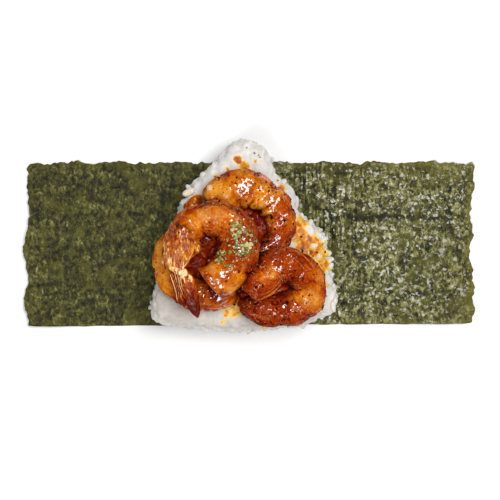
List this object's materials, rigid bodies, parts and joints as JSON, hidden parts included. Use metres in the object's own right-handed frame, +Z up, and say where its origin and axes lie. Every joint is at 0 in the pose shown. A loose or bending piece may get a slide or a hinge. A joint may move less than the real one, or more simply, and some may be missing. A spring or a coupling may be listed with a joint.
{
  "type": "shrimp onigiri laid open on a nori strip",
  "caption": "Pressed rice triangle lying on an open strip of nori, topped with curled glazed shrimp and dried parsley.",
  "frame": {"origin": "middle of the flat underside of the nori strip, which lies on the table", "axes": "+X along the strip, +Y towards the apex of the rice triangle, +Z up out of the shrimp"},
  "size_m": [0.1907, 0.0806, 0.047],
  "materials": {
    "nori": "dried seaweed, dark olive green, mottled and fibrous, half glossy",
    "rice": "cooked short-grain rice, soft white, slightly see-through, stained with sauce at one side",
    "shrimp": "seared shrimp in a wet orange-red chilli glaze, with pepper and dried parsley"
  },
  "bodies": {
    "root": {"nori_sheet": "nori", "rice_triangle": "rice", "shrimp_over": "shrimp", "shrimp_under": "shrimp", "shrimp_apex": "shrimp", "shrimp_corner": "shrimp"}
  },
  "joints": []
}
